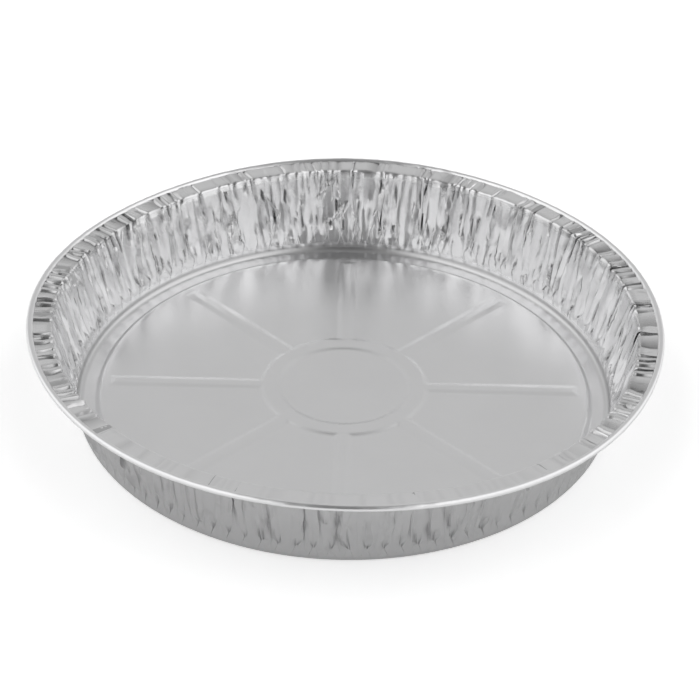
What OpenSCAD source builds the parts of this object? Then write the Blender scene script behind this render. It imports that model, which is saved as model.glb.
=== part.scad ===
// Round pie tin, pressed from one disc of thin aluminium foil.
// The disc is drawn in between two dies, so its wall gathers into creases from foot to lip.
// A raised hub ring with spokes stiffens the floor, and the flange ends in a rolled edge.
// Lengths are in millimetres. The tin stands on the plane z = 0 with its axis on Z.

/* [Rim] */
// Diameter over the rolled edge
rim_d = 254; // [200:2:320]
// Height from the table to the top of the rolled edge
tin_h = 39; // [26:1:60]
// Distance from the top of the wall to the outside of the rolled edge
flange_w = 10; // [8:0.5:15]
// Rise of the flange from the wall to the rolled edge
flange_rise = 0.7; // [0:0.1:1.6]
// Diameter of the rolled edge
curl_d = 2.6; // [2:0.1:3.6]
// How far the rolled edge stands above the flange where they meet
curl_proud = 0.5; // [0.1:0.1:0.7]
// Angle through which the edge is rolled beyond its top, in degrees
curl_turn = 270; // [200:10:270]

/* [Waves of the rim] */
// How far the rim is out of round: its longest radius beyond the mean
rim_oval = 1; // [0:0.1:1.5]
// Rise of two opposite sides of the rim over its mean height
rim_saddle = 1; // [0:0.1:1.5]
// Height of four shallow waves around the rim
rim_wave = 0.7; // [0:0.1:1.5]

/* [Wall] */
// Distance that the wall leans out between the table and the flange
wall_flare = 7.8; // [4:0.2:14]
// Radius of the corner between base and wall
foot_radius = 3; // [2:0.25:4.5]
// Radius of the corner between wall and flange
lip_radius = 1.6; // [1:0.2:2.6]
// Number of gathers around the wall
gathers = 96; // [48:1:104]
// Depth of a gather from crest to crease
gather_depth = 2; // [0.2:0.1:2.4]
// How much the gathers differ from each other, as a share of their depth
gather_spread = 0.5; // [0:0.05:0.5]
// Share of a gather that its steep side takes; the rest is its shallow side
gather_fold = 0.32; // [0.25:0.01:0.5]

/* [Base] */
// Width of the flat ring that the tin rests on
rest_w = 3.8; // [2:0.2:6]
// Height of the floor above the table
floor_lift = 1.6; // [1:0.1:3]
// Width of the slope from the resting ring up to the floor
step_w = 3.2; // [2:0.2:5]

/* [Floor pattern] */
// Number of spokes
spokes = 8; // [4:1:8]
// Width of a spoke over its sloping sides
spoke_w = 8; // [6:0.2:10]
// Height of a spoke above the floor
spoke_h = 0.5; // [0.3:0.05:1]
// Width of one sloping side of a spoke
spoke_side = 2.8; // [1:0.1:2.9]
// Gap between the end of a spoke and the slope at the edge of the floor
spoke_gap = 2.5; // [1:0.5:10]
// Diameter of the flat disc inside the hub ring
hub_d = 51; // [36:1:70]
// Width of the hub ring over its sloping sides
hub_w = 9.8; // [6:0.2:12]
// Height of the hub ring above the floor
hub_h = 0.7; // [0.4:0.1:1.6]
// Width of one sloping side of the hub ring
hub_side = 2.2; // [0.8:0.1:2.8]

/* [Foil] */
// Thickness of the foil
foil_t = 0.1; // [0.08:0.01:0.2]

/* [Hidden] */

// Heights of the middle of the foil
z_rest = foil_t / 2;
z_floor = floor_lift + foil_t / 2;
z_hub = z_floor + hub_h;

// Rolled edge: centre and radius of the middle of the foil, and where the flange meets it
curl_r = (curl_d - foil_t) / 2;
curl_c = [rim_d / 2 - curl_d / 2, tin_h - curl_d / 2];
curl_side = acos(1 - curl_proud / curl_r);
flange_end = curl_c + curl_r * [-sin(curl_side), cos(curl_side)];
flange_slope = atan(flange_rise / (flange_w - curl_d / 2));

// Sharp corners of the profile, before they are rounded
top_r = rim_d / 2 - flange_w;
top_corner = [top_r, flange_end[1] - (flange_end[0] - top_r) * tan(flange_slope)];
foot_corner = [top_r - wall_flare, z_rest];
wall_lean = atan(wall_flare / (top_corner[1] - z_rest));
up_wall = [sin(wall_lean), cos(wall_lean)];
out_flange = [cos(flange_slope), sin(flange_slope)];

// Rounded corner between base and wall
foot_reach = foot_radius * tan((90 - wall_lean) / 2);
foot_c = foot_corner + [-foot_reach, foot_radius];
function foot_arc(turn) = foot_c + foot_radius * [sin(turn), -cos(turn)];
wall_start = foot_corner + foot_reach * up_wall;

// Rounded corner between wall and flange
lip_reach = lip_radius * tan((90 - flange_slope - wall_lean) / 2);
wall_end = top_corner - lip_reach * up_wall;
lip_c = wall_end + lip_radius * [cos(wall_lean), -sin(wall_lean)];
function lip_arc(turn) = lip_c + lip_radius * [-cos(turn), sin(turn)];

// Radii of the base
rest_out_r = foot_c[0];
rest_in_r = rest_out_r - rest_w;
floor_r = rest_in_r - step_w;
spoke_r = floor_r - spoke_gap;
hub_r = hub_d / 2;

function along(a, b, share) = a + (b - a) * share;
function curl_at(share) =
    let (turn = 90 + curl_side - (curl_side + curl_turn) * share)
    curl_c + curl_r * [cos(turn), sin(turn)];

// Profile of the middle of the foil from the hub to the end of the rolled edge.
// Each level is [radius, height], and on the wall and the flange also the share of the
// gather depth there and how far the gathers are pressed down, from 0, centred, to 1, below.
floor_levels = [
    [hub_r, z_floor],
    [hub_r + hub_side, z_hub],
    [hub_r + hub_w - hub_side, z_hub],
    [hub_r + hub_w, z_floor],
    [spoke_r - spoke_side, z_floor],
    [spoke_r, z_floor]
];
base_levels = [
    [floor_r, z_floor],
    [rest_in_r, z_rest],
    [rest_out_r, z_rest],
    foot_arc((90 - wall_lean) / 2)
];
wall_levels = [
    [each wall_start, 0.35, 0],
    [each along(wall_start, wall_end, 0.32), 0.9, 0],
    [each along(wall_start, wall_end, 0.7), 1, 0],
    [each wall_end, 0.85, 0],
    [each lip_arc((90 - flange_slope + wall_lean) / 2), 0.75, 0.5],
    [each lip_arc(90 - flange_slope), 0.7, 1],
    [each along(lip_arc(90 - flange_slope), flange_end, 0.7), 0.5, 1]
];
curl_steps = 7;
curl_levels = [for (i = [0 : curl_steps]) curl_at(i / curl_steps)];
levels = concat(floor_levels, base_levels, wall_levels, curl_levels);

// Places of some levels in the profile
hub_out = 3;
spoke_end = 4;
first_base = len(floor_levels);
first_wall = first_base + len(base_levels);
first_curl = first_wall + len(wall_levels);
last = len(levels) - 1;

// Columns of points around each level: six to a spoke on the floor, two to a gather on the wall
spoke_cols = 6;
spoke_count = round(spokes);
gather_count = round(gathers);
function cols(l) =
    l < first_base ? spoke_count * spoke_cols :
    l >= first_wall && l < first_curl ? 2 * gather_count : gather_count;
function is_gathered(l) = l >= first_wall && l < first_curl;

// Four columns follow the two sides of a spoke, and two divide the panel up to the next one
function floor_angle(r, j) =
    let (
        k = floor(j / spoke_cols),
        c = j - k * spoke_cols,
        foot = asin(spoke_w / 2 / r),
        top = asin((spoke_w / 2 - spoke_side) / r),
        pitch = 360 / spoke_count,
        panel = pitch - 2 * foot
    )
    k * pitch + [-foot, -top, top, foot, foot + panel / 3, foot + panel * 2 / 3][c];

// Steps in degrees that scatter the sides, places and strengths of the gathers
side_step = 131;
place_step = 83;
place_drift = 70;
strength_step = 97;
strength_drift = 25;
swing_step = 41;
swing = 60;

// Share of a gather by which its crest wanders to each side up the wall
wander = 0.12;

// Each gather is folded over to one side, and its crest wanders a little up the wall
function wall_angle(l, j) =
    let (
        k = floor(j / 2),
        side = sin(side_step * k) > 0 ? gather_fold : 1 - gather_fold,
        place = wander * sin(place_step * k + place_drift * (l - first_wall))
    )
    360 / gather_count * (k + (j % 2 == 0 ? 0 : side) + place);
function angle(l, j) =
    let (n = cols(l), turns = floor(j / n), i = j - n * turns)
    360 * turns + (
        l < first_base ? floor_angle(levels[l][0], i) :
        is_gathered(l) ? wall_angle(l, i) :
        360 / n * i
    );

// Crests and creases take turns, and each gather has its own strength that drifts up the wall
function gather(l, j) =
    let (
        n = cols(l),
        i = (j + n) % n,
        k = floor(i / 2),
        turn = strength_step * k + swing * sin(swing_step * k) + strength_drift * (l - first_wall),
        strength = 1 - gather_spread * (1 + sin(turn)) / 2
    )
    ((i % 2 == 0 ? 1 : -1) + levels[l][3]) * gather_depth / 2 * levels[l][2] * strength;

// Directions in degrees of the longest radius of the rim and of the tops of its waves
oval_at = -18;
saddle_at = 50;
wave_at = 4;

// The thin wall gives a little, so the waves of the rim fade out down to its foot
function give(l) = l < first_wall ? 0 : pow(min((levels[l][1] - z_rest) / wall_end[1], 1), 2);
function rim_shift(a) = rim_oval * cos(2 * (a - oval_at));
function rim_rise(a) =
    rim_saddle * cos(2 * (a - saddle_at)) + rim_wave * cos(4 * (a - wave_at));

// A point on the middle of the foil at level l, at angle a, pushed outward from the wall
function spot(l, a, rise, push) =
    let (
        p = levels[l],
        before = levels[max(l - 1, 0)],
        after = levels[min(l + 1, last)],
        dir = [after[0] - before[0], after[1] - before[1]],
        out = [dir[1], -dir[0]] / norm(dir),
        r = p[0] + out[0] * push + give(l) * rim_shift(a),
        z = p[1] + out[1] * push + give(l) * rim_rise(a) + rise
    )
    [r * cos(a), r * sin(a), z];
function on_spoke(l, j) =
    let (c = ((j + cols(l)) % cols(l)) % spoke_cols)
    (l == hub_out || l == spoke_end) && (c == 1 || c == 2);
function rise(l, j) = l < first_base && on_spoke(l, j) ? spoke_h : 0;
function push(l, j) = is_gathered(l) ? gather(l, j) : 0;
function middle(l, j) = spot(l, angle(l, j), rise(l, j), push(l, j));

// Direction across the foil, towards the inside of the tin; the resting ring is pressed flat
function across(l, j) =
    l == first_base + 1 || l == first_base + 2 ? [0, 0, 1] :
    let (
        a = angle(l, j),
        before = spot(max(l - 1, 0), a, 0, 0),
        after = spot(min(l + 1, last), a, 0, 0),
        n = cross(after - before, middle(l, j + 1) - middle(l, j - 1))
    )
    n / norm(n);
function skin(l, side) =
    [for (j = [0 : cols(l) - 1]) middle(l, j) + across(l, j) * foil_t / 2 * side];
function tip(side) = [0, 0, z_floor + foil_t / 2 * side];

// Numbers of the points: the centre of the inner skin, its rings, and the same for the outer skin
starts = [for (l = 0, n = 1; l <= last; n = n + cols(l), l = l + 1) n];
skin_points = starts[last] + cols(last);
function at(l, j) = starts[l] + (j + cols(l)) % cols(l);
function mid_angle(l, j) = (angle(l, j) + angle(l, j + 1)) / 2;
function count_below(l, a) = len([for (j = [0 : cols(l) - 1]) if (mid_angle(l, j) < a) 1]);
function count_up_to(l, a) = len([for (j = [0 : cols(l) - 1]) if (mid_angle(l, j) <= a) 1]);

// Triangles between two rings, joined column by column or, where the counts differ, by angle
function band(l, m) =
    cols(l) == cols(m) ?
        [for (j = [0 : cols(l) - 1])
            each [[at(l, j), at(l, j + 1), at(m, j)], [at(m, j + 1), at(m, j), at(l, j + 1)]]] :
        concat(
            [for (j = [0 : cols(l) - 1])
                [at(l, j), at(l, j + 1), at(m, count_below(m, mid_angle(l, j)))]],
            [for (j = [0 : cols(m) - 1])
                [at(m, j + 1), at(m, j), at(l, count_up_to(l, mid_angle(m, j)))]]
        );
hub_faces = [for (j = [0 : cols(0) - 1]) [at(0, j + 1), at(0, j), 0]];
inner_faces = concat(hub_faces, [for (l = [0 : last - 1]) each band(l, l + 1)]);
outer_faces = [for (f = inner_faces) [f[2], f[1], f[0]] + skin_points * [1, 1, 1]];
edge_faces = [
    for (j = [0 : cols(last) - 1])
        let (i = at(last, j), k = at(last, j + 1))
        each [[i, k, i + skin_points], [k + skin_points, i + skin_points, k]]
];

module foil_tin()
    color("silver")
    polyhedron(
        points = [
            tip(1), for (l = [0 : last]) each skin(l, 1),
            tip(-1), for (l = [0 : last]) each skin(l, -1)
        ],
        faces = concat(inner_faces, outer_faces, edge_faces)
    );

foil_tin();
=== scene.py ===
import math
import random

import bpy
import numpy as np
from mathutils import Matrix, Vector


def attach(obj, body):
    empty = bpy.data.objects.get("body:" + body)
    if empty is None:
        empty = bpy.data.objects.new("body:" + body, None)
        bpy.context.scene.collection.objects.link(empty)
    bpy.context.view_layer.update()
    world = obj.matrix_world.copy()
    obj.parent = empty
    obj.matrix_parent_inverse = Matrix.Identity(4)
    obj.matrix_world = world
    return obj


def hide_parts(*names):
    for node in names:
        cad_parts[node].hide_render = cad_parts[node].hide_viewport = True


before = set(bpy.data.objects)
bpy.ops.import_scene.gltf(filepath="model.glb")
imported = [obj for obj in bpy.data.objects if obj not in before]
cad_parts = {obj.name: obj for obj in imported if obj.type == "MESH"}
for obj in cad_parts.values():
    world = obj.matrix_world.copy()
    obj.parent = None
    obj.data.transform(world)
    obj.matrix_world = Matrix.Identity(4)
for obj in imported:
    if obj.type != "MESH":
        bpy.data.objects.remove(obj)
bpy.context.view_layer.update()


# Foil tin.
# One disc of aluminium foil, a tenth of a millimetre thick, pressed between two dies: the spare
# foil gathers into folds on the wall and the flange, and the edge is rolled into a bead.
mm = 0.001
foil_thickness = 0.1 * mm
rim_radius, rim_height = 127 * mm, 39 * mm
flange_width, flange_rise = 10 * mm, 0.7 * mm
bead_radius, bead_inset, bead_proud, bead_turn = 1.23 * mm, 1.3 * mm, 0.7 * mm, math.radians(270)
wall_flare, foot_radius, lip_radius = 7.8 * mm, 3 * mm, 1.6 * mm
rest_width, step_width, floor_lift = 3.8 * mm, 3.2 * mm, 1.6 * mm
spoke_count, spoke_width, spoke_height = 8, 8 * mm, 0.5 * mm
spoke_side, spoke_gap = 3.0 * mm, 2.5 * mm
hub_radius, hub_width, hub_height, hub_side = 25.5 * mm, 9.8 * mm, 0.7 * mm, 2.6 * mm
pleats, lines_per_pleat = 108, 4
columns_per_pleat = lines_per_pleat * 2
floor_columns, wall_columns = pleats * lines_per_pleat, pleats * columns_per_pleat

# The profile of the foil, rounded where it turns, worked out as the dies are drawn
bead_centre = Vector((rim_radius - bead_inset, rim_height - bead_inset))
bead_side = math.acos(1 - bead_proud / bead_radius)
flange_slope = math.atan(flange_rise / (flange_width - bead_inset))
flange_end = bead_centre + bead_radius * Vector((-math.sin(bead_side), math.cos(bead_side)))
lip_corner_radius = rim_radius - flange_width
lip_corner_height = flange_end.y - (flange_end.x - lip_corner_radius) * math.tan(flange_slope)
lip_corner = Vector((lip_corner_radius, lip_corner_height))
foot_corner = Vector((lip_corner_radius - wall_flare, foil_thickness / 2))
lean = math.atan2(wall_flare, lip_corner.y - foot_corner.y)
up_wall = Vector((math.sin(lean), math.cos(lean)))
foot_reach = foot_radius * math.tan((math.pi / 2 - lean) / 2)
foot_centre = foot_corner + Vector((-foot_reach, foot_radius))
wall_start = foot_corner + foot_reach * up_wall
lip_turn = math.pi / 2 - flange_slope - lean
wall_end = lip_corner - lip_radius * math.tan(lip_turn / 2) * up_wall
lip_centre = wall_end + lip_radius * Vector((math.cos(lean), -math.sin(lean)))
lip_end = lip_centre + lip_radius * Vector((-math.sin(flange_slope), math.cos(flange_slope)))
rest_outer = foot_centre.x
rest_inner = rest_outer - rest_width
spoke_end = rest_inner - step_width - spoke_gap


def soft_step(x):
    x = np.clip(x, 0, 1)
    return x * x * (3 - 2 * x)


def pressed_step(x):
    """A step with an even slope between two short rounded ends."""
    return (np.clip(x, 0, 1) + 2 * soft_step(x)) / 3


def step_height(r):
    """Height of the foil between the ring that the tin rests on and the raised floor."""
    return float(foil_thickness / 2 + floor_lift * soft_step((rest_inner - r) / step_width))


def rows_inward(start, width, steps):
    """Radii at even steps, from a start inwards over a width."""
    return [start - width * i / steps for i in range(steps + 1)]


# Rows of points: closer together on what is pressed up, and at the foot for its small triangles
outer_margin, inner_margin = 0.4 * mm, 0.3 * mm
spoke_rows_width, hub_rows_width = 1.2 * spoke_side, 1.3 * hub_side
plain_width = spoke_end - spoke_side - hub_radius - hub_width
floor_rows = [
    rest_outer,
    *rows_inward(rest_inner, step_width, 6),
    *rows_inward(spoke_end + outer_margin, spoke_rows_width, 5),
    *rows_inward(spoke_end - spoke_side, plain_width, 3)[1:3],
    *rows_inward(hub_radius + hub_width + outer_margin, hub_rows_width, 4),
    *rows_inward(hub_radius + hub_side + inner_margin, hub_rows_width, 4),
    hub_radius * 0.6,
    hub_radius * 0.2,
]
foot_turns = [math.radians(degrees) for degrees in (18, 36, 54, 68)]
lip_turns = [lean + lip_turn * i / 4 for i in range(1, 4)]
close_steps, wall_steps = 35, 18
wall_rows = [
    *[foot_centre + foot_radius * Vector((math.sin(t), -math.cos(t))) for t in foot_turns],
    *[wall_start.lerp(wall_end, i / close_steps) for i in range(6)],
    *[wall_start.lerp(wall_end, i / wall_steps) for i in range(3, wall_steps + 1)],
    *[lip_centre + lip_radius * Vector((-math.cos(t), math.sin(t))) for t in lip_turns],
    *[lip_end.lerp(flange_end, share) for share in (0, 0.25, 0.5, 0.75, 0.95)],
]
bead_steps = 15
bead_start = math.pi / 2 + bead_side
bead_turns = [bead_start - (bead_side + bead_turn) * i / bead_steps for i in range(bead_steps + 1)]
bead_rows = [bead_centre + bead_radius * Vector((math.cos(t), math.sin(t))) for t in bead_turns]


def ring_extrude(start, end):
    """Extrude the selected ring from one place of the profile to the next."""
    bpy.ops.mesh.extrude_region_move(TRANSFORM_OT_translate={"value": (0, 0, end[1] - start[1])})
    bpy.ops.transform.resize(value=(end[0] / start[0], end[0] / start[0], 1), center_override=(0, 0, 0))


def rings(columns, places):
    """Add a circle of edges at the first place of the profile and extrude it through the rest."""
    bpy.ops.mesh.select_all(action="DESELECT")
    bpy.ops.mesh.primitive_circle_add(
        vertices=columns, radius=places[0][0], location=(0, 0, places[0][1]))
    for start, end in zip(places, places[1:]):
        ring_extrude(start, end)


floor_places = [(r, step_height(r)) for r in floor_rows]
bpy.ops.object.select_all(action="DESELECT")
bpy.ops.mesh.primitive_circle_add(
    vertices=wall_columns, radius=wall_rows[0].x, location=(0, 0, wall_rows[0].y))
foil = bpy.context.object
foil.name = foil.data.name = "foil_tin_skin"
bpy.ops.object.transform_apply(location=True, rotation=False, scale=False)
bpy.ops.object.mode_set(mode="EDIT")
bpy.ops.mesh.select_mode(type="EDGE")
bpy.ops.mesh.select_all(action="SELECT")
for start, end in zip(wall_rows, wall_rows[1:]):
    ring_extrude(start, end)
rings(floor_columns, bead_rows)
rings(floor_columns, floor_places)
bpy.ops.mesh.extrude_region_move()
bpy.ops.mesh.merge(type="CENTER")
bpy.ops.object.mode_set(mode="OBJECT")


def mesh_points():
    """The places of all points of the foil, one to a row."""
    points = np.empty(len(foil.data.vertices) * 3)
    foil.data.vertices.foreach_get("co", points)
    return points.reshape(-1, 3)


def ring_select(places):
    """Select in object mode the edges that lie along rings of the profile."""
    mesh, points, within = foil.data, mesh_points(), 0.001 * mm
    radius = np.hypot(points[:, 0], points[:, 1])
    on_ring = np.zeros(len(points), bool)
    for r, z in places:
        on_ring |= (abs(radius - r) < within) & (abs(points[:, 2] - z) < within)
    pairs = np.empty(len(mesh.edges) * 2, int)
    mesh.edges.foreach_get("vertices", pairs)
    mesh.polygons.foreach_set("select", np.zeros(len(mesh.polygons), bool))
    mesh.vertices.foreach_set("select", on_ring)
    mesh.edges.foreach_set("select", on_ring[pairs.reshape(-1, 2)].all(1))


# The floor is joined to the foot, and the flange to the bead
for pair in ((floor_places[0], wall_rows[0]), (wall_rows[-1], bead_rows[0])):
    ring_select(pair)
    bpy.ops.object.mode_set(mode="EDIT")
    bpy.ops.mesh.bridge_edge_loops()
    bpy.ops.object.mode_set(mode="OBJECT")
bpy.ops.object.mode_set(mode="EDIT")
bpy.ops.mesh.select_all(action="SELECT")
bpy.ops.mesh.normals_make_consistent(inside=False)
bpy.ops.object.mode_set(mode="OBJECT")

# Every point of the foil knows its angle, its row on the profile and the way out of the sheet
points = mesh_points()
radius, height = np.hypot(points[:, 0], points[:, 1]), points[:, 2]
angle = np.arctan2(points[:, 1], points[:, 0])
profile = np.array([*floor_places[::-1], *wall_rows, *bead_rows])
row = ((radius[:, None] - profile[:, 0]) ** 2 + (height[:, None] - profile[:, 1]) ** 2).argmin(1)
heading = np.gradient(profile, axis=0)
heading /= np.linalg.norm(heading, axis=1)[:, None]
travel = np.concatenate([[0], np.cumsum(np.linalg.norm(np.diff(profile, axis=0), axis=1))])
first_wall, first_bead = len(floor_places), len(floor_places) + len(wall_rows)
foot_top = first_wall + len(foot_turns)
on_floor, on_bead = row < first_wall, row >= first_bead
on_wall = ~on_floor & ~on_bead
inward = np.stack([-heading[row, 1], heading[row, 0]], 1)

# Floor: the hub ring and the spokes are pressed up, and the columns of points follow the spokes
sector = 2 * math.pi / spoke_count
spoke_columns, spoke_margin = 8, 0.5 * mm
widest_angle, widest_sine = 0.4 * sector, 0.6
follow_past_spokes, follow_to_hub = 2 * mm, 0.9
floor_column = np.rint(angle / (2 * math.pi) * floor_columns).astype(int)
per_sector = floor_columns // spoke_count
nearest_spoke = np.rint(floor_column / per_sector).astype(int)
offset = floor_column - nearest_spoke * per_sector
half_spoke = spoke_width / 2 + spoke_margin
safe_radius = np.maximum(radius, 1 * mm)
edge_angle = np.arcsin(np.clip(half_spoke / safe_radius, 0, math.sin(widest_angle)))
spoke_sine = np.clip(offset / spoke_columns * half_spoke / safe_radius, -widest_sine, widest_sine)
share = (abs(offset) - spoke_columns) / (per_sector / 2 - spoke_columns)
off_spoke = np.sign(offset) * (edge_angle + (sector / 2 - edge_angle) * share)
swept = nearest_spoke * sector + np.where(abs(offset) <= spoke_columns, np.arcsin(spoke_sine), off_spoke)
by_spokes = (radius < spoke_end + follow_past_spokes) & (radius > hub_radius * follow_to_hub)
angle = np.where(on_floor & by_spokes, swept, angle)
across_spoke = abs(radius * np.sin(angle - np.rint(angle / sector) * sector))

hub_form = hub_height * np.minimum(
    pressed_step((radius - hub_radius) / hub_side),
    pressed_step((hub_radius + hub_width - radius) / hub_side))
spoke_form = spoke_height * np.minimum.reduce([
    pressed_step((spoke_width / 2 - across_spoke) / spoke_side),
    soft_step((spoke_end - radius) / spoke_side),
    soft_step((radius - hub_radius) / hub_side)])
lift = np.where(on_floor, np.maximum(hub_form, spoke_form), 0)

# Wall and flange: each pleat has a crest, a crease close to one side of it and a lesser crest and
# crease behind. These four lines wander and change height from level to level, where a pleat has a
# share of its depth and is pressed down a little on the flange.
dice = random.Random(41)
line_count = pleats * lines_per_pleat
pitch = 2 * math.pi / pleats
wall_run = (wall_end - wall_start).length
flange_start = wall_run + lip_radius * lip_turn
flange_run = (flange_end - lip_end).length
levels = [-2 * mm, 0, 3.5 * mm, 8 * mm, 13 * mm, 18 * mm, 23 * mm, 28 * mm, wall_run - 2 * mm,
          wall_run + 0.6 * mm, flange_start, flange_start + flange_run * 0.45, flange_start + flange_run]
depth_shares = [0, 0, 0.45, 0.8, 0.95, 1, 1, 1, 1, 0.9, 0.9, 0.9, 0.6]
pressed_down = [0] * 10 + [0.2 * mm, 0.3 * mm, 0.3 * mm]
pleat_depths, level_depths = (0.35, 0.7, 1.0, 1.2), (0.45, 0.8, 1.0, 1.25)
most_lean, turn_heights, lean_over = 0.4, (8, 28), 20 * mm
crease_at, crease_jitter = (0.16, 0.22), 0.09
lesser_crest_at, lesser_crease_at = (0.40, 0.54), (0.62, 0.76)
line_rises = ((0.15, 0.65), (-0.85, -0.25), (-0.25, 0.5), (-0.5, 0.25))

# On the flange a pleat is shallow in front, deepest at the sides and half as deep at the back
front_share, front_edge, front_fade = 0.1, 35, 30
back_drop, back_edge, back_fade = 0.5, 125, 20

# Where the foil is folded hard together, the crease is a narrow groove, in short stretches up the
# wall and over the lip, where there are more of them at the sides
groove_lines, wall_chance = ((1, 0.9), (3, 0.5)), 0.7
groove_starts, groove_lengths, groove_depths = ((4, 14), (15, 30)), (3, 10), (0.3, 1.0)
lip_groove_starts, lip_groove_depths = (2, 10), (0.5, 1.0)
groove_fade, lip_fade = 1.5 * mm, 2 * mm
more_at_sides, sides_from, sides_to = 0.3, 50, 120

rows = travel[first_wall:first_bead] - travel[foot_top]
on_lip = soft_step((rows - wall_run + lip_fade) / lip_fade)
line_angle = np.zeros((len(levels), line_count))
line_height = np.zeros((len(levels), line_count))
groove = np.zeros((len(rows), line_count))
flange_folds = np.zeros(pleats)
for k in range(pleats):
    from_front = abs((math.degrees(k * pitch) + 270) % 360 - 180)
    at_side = np.clip((from_front - front_edge) / front_fade, front_share, 1)
    at_back = np.clip((from_front - back_edge) / back_fade, 0, 1)
    flange_folds[k] = at_side - back_drop * at_back
    crease_first, pleat_depth = dice.random() < 0.5, dice.choice(pleat_depths)
    lean_low, lean_high = dice.uniform(-most_lean, most_lean), dice.uniform(-most_lean, most_lean)
    turn_at = dice.uniform(*turn_heights) * mm
    crease = dice.uniform(*crease_at)
    for n, level in enumerate(levels):
        lean_by = lean_low * min(level / turn_at - 0.5, 0.5)
        lean_by += lean_high * max(level - turn_at, 0) / lean_over
        depth = depth_shares[n] * pleat_depth * dice.choice(level_depths) * mm
        shares = [0, crease + dice.uniform(-crease_jitter, crease_jitter),
                  dice.uniform(*lesser_crest_at), dice.uniform(*lesser_crease_at)]
        rises = [dice.uniform(*limits) for limits in line_rises]
        if level > wall_run:
            depth *= flange_folds[k]
        if not crease_first:
            shares = [0, *[1 - s for s in shares[:0:-1]]]
            rises = [rises[0], *rises[:0:-1]]
        for i in range(lines_per_pleat):
            line_angle[n, k * lines_per_pleat + i] = (k + shares[i] + lean_by) * pitch
            line_height[n, k * lines_per_pleat + i] = rises[i] * depth - pressed_down[n]
    for line, chance in groove_lines:
        groove_line = k * lines_per_pleat + (line if crease_first else lines_per_pleat - line)
        for limits in groove_starts:
            start, length = dice.uniform(*limits) * mm, dice.uniform(*groove_lengths) * mm
            tight = dice.uniform(*groove_depths) * mm
            stretch = soft_step((rows - start) / groove_fade)
            stretch *= soft_step((start + length - rows) / groove_fade)
            if dice.random() < chance * wall_chance:
                groove[:, groove_line] += tight * stretch * (1 - on_lip)
        drop, tight = dice.uniform(*lip_groove_starts) * mm, dice.uniform(*lip_groove_depths) * mm
        over_lip = tight * flange_folds[k] * soft_step((rows - wall_run + drop) / lip_fade)
        if dice.random() < chance + more_at_sides * (sides_from < from_front < sides_to):
            groove[:, groove_line] = np.maximum(groove[:, groove_line], over_lip)
weights = np.array([np.interp(rows, levels, np.eye(len(levels))[n]) for n in range(len(levels))]).T
row_angle, row_height = weights @ line_angle, weights @ line_height


def with_middles(lines, turn=0):
    """Put a column of points halfway between each line and the next."""
    after = np.roll(lines, -1, axis=1)
    after[:, -1] += turn
    return np.stack([lines, (lines + after) / 2], 2).reshape(len(lines), -1)


# Above the foot the columns of points settle onto these lines
settle_height = 6 * mm
column_angle, column_height = with_middles(row_angle, 2 * math.pi), with_middles(row_height)
column_height[:, ::2] -= groove
wall_column = np.rint(angle / (2 * math.pi) * wall_columns).astype(int) % wall_columns
wall_row = np.clip(row - first_wall, 0, len(rows) - 1)
pleat, above_foot = wall_column // columns_per_pleat, rows[wall_row]
straight = wall_column * 2 * math.pi / wall_columns
turned = straight + (column_angle[wall_row, wall_column] - straight) * soft_step(above_foot / settle_height)
angle = np.where(on_wall, turned, angle)
dent = np.where(on_wall, column_height[wall_row, wall_column], 0)

# Painted shade: the colour is darkened in a groove, beside it on the flange, in a band along the foot and in
# a line along the lip, where the folds and bends hold shade
fully_shaded_groove, beside_shade, lip_shade = 0.8 * mm, 0.55, 0.25
foot_shades = (0.25, 0.35, 0.55, 0.65, 0.6)
lip_margin = 0.1 * mm
painted_fold_shade = np.zeros((len(rows), wall_columns))
painted_fold_shade[:, ::2] = np.clip(groove / fully_shaded_groove, 0, 1)
beside = np.maximum(np.roll(painted_fold_shade, 1, axis=1), np.roll(painted_fold_shade, -1, axis=1))
painted_fold_shade = np.maximum(painted_fold_shade, beside * beside_shade * on_lip[:, None])
at_foot = np.zeros(len(rows))
at_foot[:len(foot_shades)] = foot_shades
painted_fold_shade = np.maximum(painted_fold_shade, at_foot[:, None])
at_lip = (rows > wall_run - lip_margin) & (rows < flange_start + lip_margin)
shade_at_lip = lip_shade * at_lip[:, None] * np.repeat(flange_folds, columns_per_pleat)
painted_fold_shade = np.maximum(painted_fold_shade, shade_at_lip)
painted_fold_shade = np.where(on_wall, painted_fold_shade[wall_row, wall_column], 0)

# The fine crumple starts above the foot and is weaker on the flange
flange_crumple, crumple_start = 0.5, 4 * mm
smoothed = (1 - flange_crumple * flange_folds[pleat]) * on_lip[wall_row]
crumpled = np.where(on_wall, (1 - smoothed) * soft_step(above_foot / crumple_start), 0)

# Foot: every pleat starts there from a small triangle that stands up steeper than the wall
dart_height, dart_width, dart_edge, dart_half_tip = 5 * mm, 3.4 * mm, 0.25 * mm, 0.2 * mm
dart_depths, dart_end, dart_fade = (0.55, 0.85), 14 * mm, 9 * mm
held_from, held_to, held_fade = 2.5 * mm, 9 * mm, 4 * mm
dart_depth = np.array([dice.uniform(*dart_depths) * mm for _ in range(pleats)])[pleat]
climb = np.clip(above_foot / dart_height, 0, 1)
stands_out = dart_depth * climb * soft_step((dart_end - above_foot) / dart_fade)
held = soft_step(1 + above_foot / held_from) * soft_step((held_to - above_foot) / held_fade)
from_middle = wall_column % columns_per_pleat - lines_per_pleat
half_width = dart_width / 2 * (1 - climb) + dart_half_tip + dart_edge * (abs(from_middle) - 1)
middle_angle = (wall_column - from_middle) * 2 * math.pi / wall_columns
dart_angle = middle_angle + np.sign(from_middle) * half_width / safe_radius
near_dart = on_wall & (abs(from_middle) <= 2)
angle = np.where(near_dart, angle + (dart_angle - angle) * held, angle)
dent = np.where(near_dart, dent * (1 - held) + stands_out * (abs(from_middle) <= 1), dent)

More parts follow.
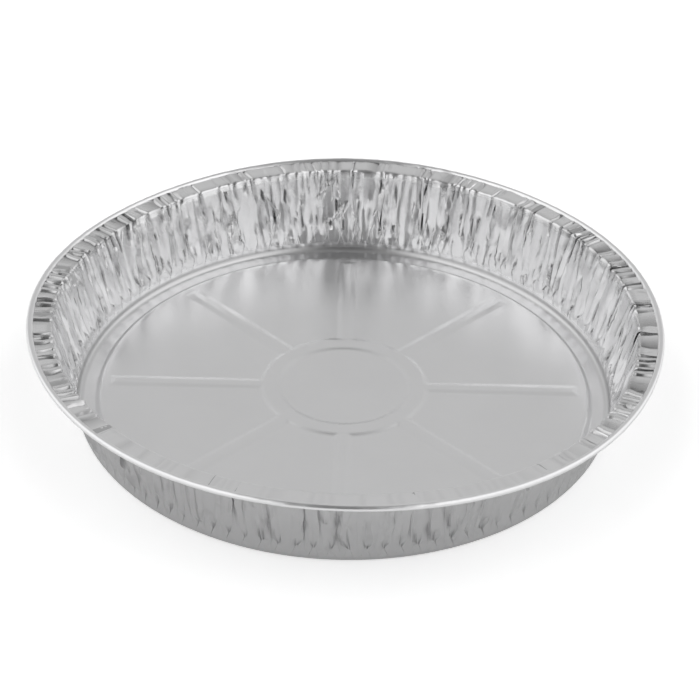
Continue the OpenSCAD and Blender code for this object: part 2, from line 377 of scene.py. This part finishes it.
# Rolled edge: shallow flats where the pleats run into it
deepest_flat = 0.12
flat = np.array([dice.uniform(0, deepest_flat) * mm for _ in range(line_count)])
dent -= np.where(on_bead & (row > first_bead), flat[floor_column % floor_columns], 0)

# The thin wall gives a little, so the rim is out of round and waves up and down
rim_oval, oval_turn = 1.0 * mm, math.radians(18)
rim_saddle, saddle_turn = 1.0 * mm, math.radians(50)
rim_wave, wave_turn = 0.7 * mm, math.radians(4)
give = np.where(on_floor, 0, np.minimum(height / wall_end.y, 1) ** 2)
shift = give * rim_oval * np.cos(2 * (angle + oval_turn))
rise = give * (rim_saddle * np.cos(2 * (angle - saddle_turn)) + rim_wave * np.cos(4 * (angle - wave_turn)))
new_radius = np.where(radius < 0.1 * mm, 0, radius + inward[:, 0] * dent + shift)
new_height = height + inward[:, 1] * dent + rise + lift
placed = np.stack([new_radius * np.cos(angle), new_radius * np.sin(angle), new_height], 1)
foil.data.vertices.foreach_set("co", placed.ravel())
foil.data.update()

# A place on the flat sheet, which the finish follows: around the tin, and along from foot to edge
sheet = np.stack([
    rim_radius * np.cos(angle), rim_radius * np.sin(angle), travel[row] - travel[foot_top]], 1)
foil.data.attributes.new("sheet", "FLOAT_VECTOR", "POINT").data.foreach_set("vector", sheet.ravel())
foil.data.attributes.new("painted_fold_shade", "FLOAT", "POINT").data.foreach_set("value", painted_fold_shade)
foil.data.attributes.new("crumpled", "FLOAT", "POINT").data.foreach_set("value", crumpled)

# Foil finish and painted shade: fine rolling lines along one direction, a crumple of rounded cells and a
# network of sharp creases where the foil is crumpled, and painted shade that darkens the colour in the folds
# and along the creases. Scales are per metre.
finish = bpy.data.node_groups.new("rolled_foil_finish_and_shade", "ShaderNodeTree")
for name in ("Tone", "Roughness", "Crumple", "Fold shade"):
    finish.interface.new_socket(name, in_out="INPUT", socket_type="NodeSocketFloat")
finish.interface.new_socket("Color", in_out="OUTPUT", socket_type="NodeSocketColor")
finish.interface.new_socket("Roughness", in_out="OUTPUT", socket_type="NodeSocketFloat")
finish.interface.new_socket("Height", in_out="OUTPUT", socket_type="NodeSocketFloat")
steps, wires = finish.nodes, finish.links
given, result = steps.new("NodeGroupInput").outputs, steps.new("NodeGroupOutput").inputs


def stored(name, output="Fac"):
    """What the mesh keeps for each of its points."""
    node = steps.new("ShaderNodeAttribute")
    node.attribute_name = name
    return node.outputs[output]


def mapped(source, scale):
    node = steps.new("ShaderNodeMapping")
    node.inputs["Scale"].default_value = scale
    wires.new(source, node.inputs["Vector"])
    return node.outputs["Vector"]


def noise(source, scale, detail, output="Fac"):
    node = steps.new("ShaderNodeTexNoise")
    node.inputs["Scale"].default_value, node.inputs["Detail"].default_value = 1, detail
    wires.new(mapped(source, scale), node.inputs["Vector"])
    return node.outputs[output]


def cells(source, scale, feature="F1"):
    node = steps.new("ShaderNodeTexVoronoi")
    node.feature = feature
    node.inputs["Scale"].default_value = 1
    wires.new(mapped(source, scale), node.inputs["Vector"])
    return node.outputs["Distance"]


def maths(operation, first, second):
    """One step of arithmetic on two values, each a number or another node's output."""
    node = steps.new("ShaderNodeMath")
    node.operation = operation
    for socket, value in zip(node.inputs, (first, second)):
        if isinstance(value, (int, float)):
            socket.default_value = value
        else:
            wires.new(value, socket)
    return node.outputs[0]


def times(first, second):
    return maths("MULTIPLY", first, second)


def plus(first, second):
    return maths("ADD", first, second)


def spread(value, low, high, start=0.0, end=1.0):
    """Go evenly from low to high as a value goes from start to end."""
    node = steps.new("ShaderNodeMapRange")
    for name, number in (("From Min", start), ("From Max", end), ("To Min", low), ("To Max", high)):
        node.inputs[name].default_value = number
    wires.new(value, node.inputs["Value"])
    return node.outputs["Result"]


in_metal = steps.new("ShaderNodeTexCoord").outputs["Object"]
on_sheet, is_crumpled = stored("sheet", "Vector"), stored("crumpled")
grain = noise(in_metal, scale=(60, 2600, 2600), detail=3)
haze = noise(in_metal, scale=(30, 30, 30), detail=4)

broad_cells, small_cells, sharp_creases, grain_lines = 0.45, 0.08, 0.5, 0.02
fold_cells = plus(
    times(cells(on_sheet, scale=(230, 230, 45)), broad_cells),
    times(cells(on_sheet, scale=(620, 620, 120)), small_cells))
sway = steps.new("ShaderNodeVectorMath")
sway.operation = "SCALE"
sway.inputs["Scale"].default_value = 3 * mm
wires.new(noise(on_sheet, scale=(160, 160, 160), detail=2, output="Color"), sway.inputs[0])
bent = steps.new("ShaderNodeVectorMath")
bent.operation = "ADD"
wires.new(on_sheet, bent.inputs[0])
wires.new(sway.outputs["Vector"], bent.inputs[1])
network = cells(bent.outputs["Vector"], scale=(150, 150, 36), feature="DISTANCE_TO_EDGE")
network = spread(network, low=1, high=0, start=0.0, end=0.08)
broken = spread(noise(on_sheet, scale=(90, 90, 60), detail=2), low=0, high=1, start=0.52, end=0.64)
creases = times(times(network, broken), is_crumpled)
crumple = maths("SUBTRACT", times(fold_cells, is_crumpled), times(creases, sharp_creases))
wires.new(plus(times(crumple, given["Crumple"]), times(grain, grain_lines)), result["Height"])

# Painted shade: how far the colour is darkened in the folds and along the creases; the blue cast is the
# metal's own
groove_shade, crease_shade, blue_cast = 0.6, 0.35, 1.006
shade_in_folds = plus(times(stored("painted_fold_shade"), groove_shade), times(creases, crease_shade))
patchy = plus(spread(haze, low=0.96, high=1.02), spread(grain, low=-0.01, high=0.01))
tone = times(times(given["Tone"], patchy), maths("SUBTRACT", 1, times(shade_in_folds, given["Fold shade"])))
colour = steps.new("ShaderNodeCombineColor")
wires.new(tone, colour.inputs["Red"])
wires.new(tone, colour.inputs["Green"])
wires.new(times(tone, blue_cast), colour.inputs["Blue"])
wires.new(colour.outputs["Color"], result["Color"])

duller = plus(spread(haze, low=-0.03, high=0.03), spread(grain, low=-0.02, high=0.02))
rough = plus(plus(given["Roughness"], duller), spread(is_crumpled, low=0.06, high=0))
wires.new(rough, result["Roughness"])


def foil_material(name, tone, roughness, crumple, shade_in_folds):
    """A metal with the foil's finish; the inside is the bright face and the outside the dull one."""
    metal = bpy.data.materials.new(name)
    metal.use_nodes = True
    nodes, links = metal.node_tree.nodes, metal.node_tree.links
    shader = nodes["Principled BSDF"]
    shader.inputs["Metallic"].default_value = 1
    surface = nodes.new("ShaderNodeGroup")
    surface.node_tree = finish
    for socket, value in (("Tone", tone), ("Roughness", roughness), ("Crumple", crumple), ("Fold shade", shade_in_folds)):
        surface.inputs[socket].default_value = value
    relief = nodes.new("ShaderNodeBump")
    relief.inputs["Distance"].default_value = 0.6 * mm
    links.new(surface.outputs["Height"], relief.inputs["Height"])
    links.new(surface.outputs["Color"], shader.inputs["Base Color"])
    links.new(surface.outputs["Roughness"], shader.inputs["Roughness"])
    links.new(relief.outputs["Normal"], shader.inputs["Normal"])
    foil.data.materials.append(metal)


foil_material("bright_foil", tone=0.84, roughness=0.24, crumple=1, shade_in_folds=1)
# The outside is the matt, rougher face; its tone is lower than the bright face's partly for that matt face
# and partly as painted shade for the shaded table that it mirrors
foil_material("dull_and_shaded_foil", tone=0.55, roughness=0.4, crumple=0.5, shade_in_folds=0.2)
skin = foil.modifiers.new("foil", "SOLIDIFY")
skin.thickness, skin.offset, skin.material_offset = foil_thickness, 0, 1
bpy.ops.object.modifier_apply(modifier=skin.name)
bpy.ops.object.shade_smooth_by_angle(angle=math.radians(24))
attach(foil, "root")
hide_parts("foil_tin")


# Table: the sweep of matt white card that the tin stands on. It glows a little, so that it looks
# white to the camera, and less in what the foil mirrors, so that the outer wall keeps its shade.
card_white, glow_to_camera, glow_to_mirrors = 0.92, 0.45, 0.15
bpy.ops.object.select_all(action="DESELECT")
bpy.ops.mesh.primitive_plane_add(size=6)
table = bpy.context.object
table.name = "table"
white = bpy.data.materials.new("white_table")
white.use_nodes = True
paper, paper_links = white.node_tree.nodes, white.node_tree.links
card = paper["Principled BSDF"]
card.inputs["Base Color"].default_value = (card_white, card_white, card_white, 1)
card.inputs["Roughness"].default_value = 0.9
card.inputs["Specular IOR Level"].default_value = 0
card.inputs["Emission Color"].default_value = (1, 1, 1, 1)
paths = paper.new("ShaderNodeLightPath")
mirrored, seen, glow = [paper.new("ShaderNodeMath") for _ in range(3)]
mirrored.operation, seen.operation, glow.operation = "ADD", "MULTIPLY", "MULTIPLY_ADD"
seen.inputs[1].default_value, glow.inputs[1].default_value = glow_to_camera, glow_to_mirrors
paper_links.new(paths.outputs["Is Glossy Ray"], mirrored.inputs[0])
paper_links.new(paths.outputs["Is Transmission Ray"], mirrored.inputs[1])
paper_links.new(paths.outputs["Is Camera Ray"], seen.inputs[0])
paper_links.new(mirrored.outputs[0], glow.inputs[0])
paper_links.new(seen.outputs[0], glow.inputs[2])
paper_links.new(glow.outputs[0], card.inputs["Emission Strength"])
table.data.materials.append(white)


# Studio light: a pale room, white at the sides and beside the camera and light grey behind, with a
# dark gap where the camera stands that runs up over the tin, and a weak soft box on either side.
over_tin, gap_over_tin, beside_camera, gap_at_camera = 0.95, 0.12, 1.35, 0.08
room_behind, room_sides = 0.59, 1.0
low_behind, low_beside_camera, low_gap, low_sides = 0.72, 1.1, 0.25, 1.1
world = bpy.data.worlds.new("pale_room")
bpy.context.scene.world = world
world.use_nodes = True
air, air_links = world.node_tree.nodes, world.node_tree.links
direction = air.new("ShaderNodeSeparateXYZ")
air_links.new(air.new("ShaderNodeTexCoord").outputs["Generated"], direction.inputs[0])


def fade_between(source, start, end):
    """A smooth 0 to 1 as a value of the world goes from start to end."""
    node = air.new("ShaderNodeMapRange")
    node.interpolation_type = "SMOOTHSTEP"
    node.inputs["From Min"].default_value, node.inputs["From Max"].default_value = start, end
    air_links.new(source, node.inputs["Value"])
    return node.outputs["Result"]


def blend_tones(factor, first, second):
    """Mix two grey tones of the world, each a number or another node's output."""
    node = air.new("ShaderNodeMix")
    air_links.new(factor, node.inputs["Factor"])
    for socket, shade in ((node.inputs["A"], first), (node.inputs["B"], second)):
        if isinstance(shade, (int, float)):
            socket.default_value = shade
        else:
            air_links.new(shade, socket)
    return node.outputs["Result"]


def size_of(source):
    node = air.new("ShaderNodeMath")
    node.operation = "ABSOLUTE"
    air_links.new(source, node.inputs[0])
    return node.outputs[0]


near_level = fade_between(size_of(direction.outputs["Z"]), start=0.28, end=0.1)
to_side = fade_between(size_of(direction.outputs["X"]), start=0.5, end=0.75)
in_gap = fade_between(size_of(direction.outputs["X"]), start=0.42, end=0.22)
to_back = fade_between(direction.outputs["Y"], start=0.3, end=0.5)
to_front = fade_between(direction.outputs["Y"], start=0.0, end=-0.3)
high = blend_tones(
    to_front, blend_tones(in_gap, over_tin, gap_over_tin), blend_tones(in_gap, beside_camera, gap_at_camera))
high = blend_tones(to_side, blend_tones(to_back, high, room_behind), room_sides)
low = blend_tones(to_front, low_behind, blend_tones(in_gap, low_beside_camera, low_gap))
low = blend_tones(to_side, low, low_sides)
air_links.new(blend_tones(near_level, high, low), air["Background"].inputs["Color"])

box_width, box_length, box_power = 1.2, 1.6, 1.2
box_out, box_back, box_height = 0.8, 0.1, 1.1
for name, side in (("left_soft_box", -1), ("right_soft_box", 1)):
    lamp = bpy.data.lights.new(name, "AREA")
    lamp.shape, lamp.size, lamp.size_y, lamp.energy = "RECTANGLE", box_width, box_length, box_power
    soft_box = bpy.data.objects.new(name, lamp)
    bpy.context.collection.objects.link(soft_box)
    soft_box.location = (side * box_out, box_back, box_height)
    soft_box.rotation_euler = (-soft_box.location).to_track_quat("-Z", "Y").to_euler()


# Camera: stands where the photograph was taken from, worked out from the rim, the foot and the
# floor. The centre is where the middle of the tin's foot lies in the picture, in pixels.
bpy.context.scene.view_settings.view_transform = "Standard"
elevation, roll, distance = math.radians(34.58), math.radians(-1.34), 0.8
pixels_per_metre, centre_x, centre_y, picture = 2410.7, 344.04, 389.02, 700
back = Vector((0, -math.cos(elevation), math.sin(elevation)))
up = Vector((0, math.sin(elevation), math.cos(elevation)))
right = Vector((1, 0, 0))
camera_right = math.cos(roll) * right - math.sin(roll) * up
camera_up = math.sin(roll) * right + math.cos(roll) * up
move_right = (centre_x - picture / 2) / pixels_per_metre
move_up = (centre_y - picture / 2) / pixels_per_metre
camera_place = back * distance - camera_right * move_right + camera_up * move_up
camera_turn = Matrix((camera_right, camera_up, back)).transposed().to_4x4()
camera = bpy.data.objects.new("camera", bpy.data.cameras.new("camera"))
bpy.context.collection.objects.link(camera)
camera.matrix_world = Matrix.Translation(camera_place) @ camera_turn
camera.data.sensor_width = 36
camera.data.lens = camera.data.sensor_width * pixels_per_metre * distance / picture
bpy.context.scene.camera = camera
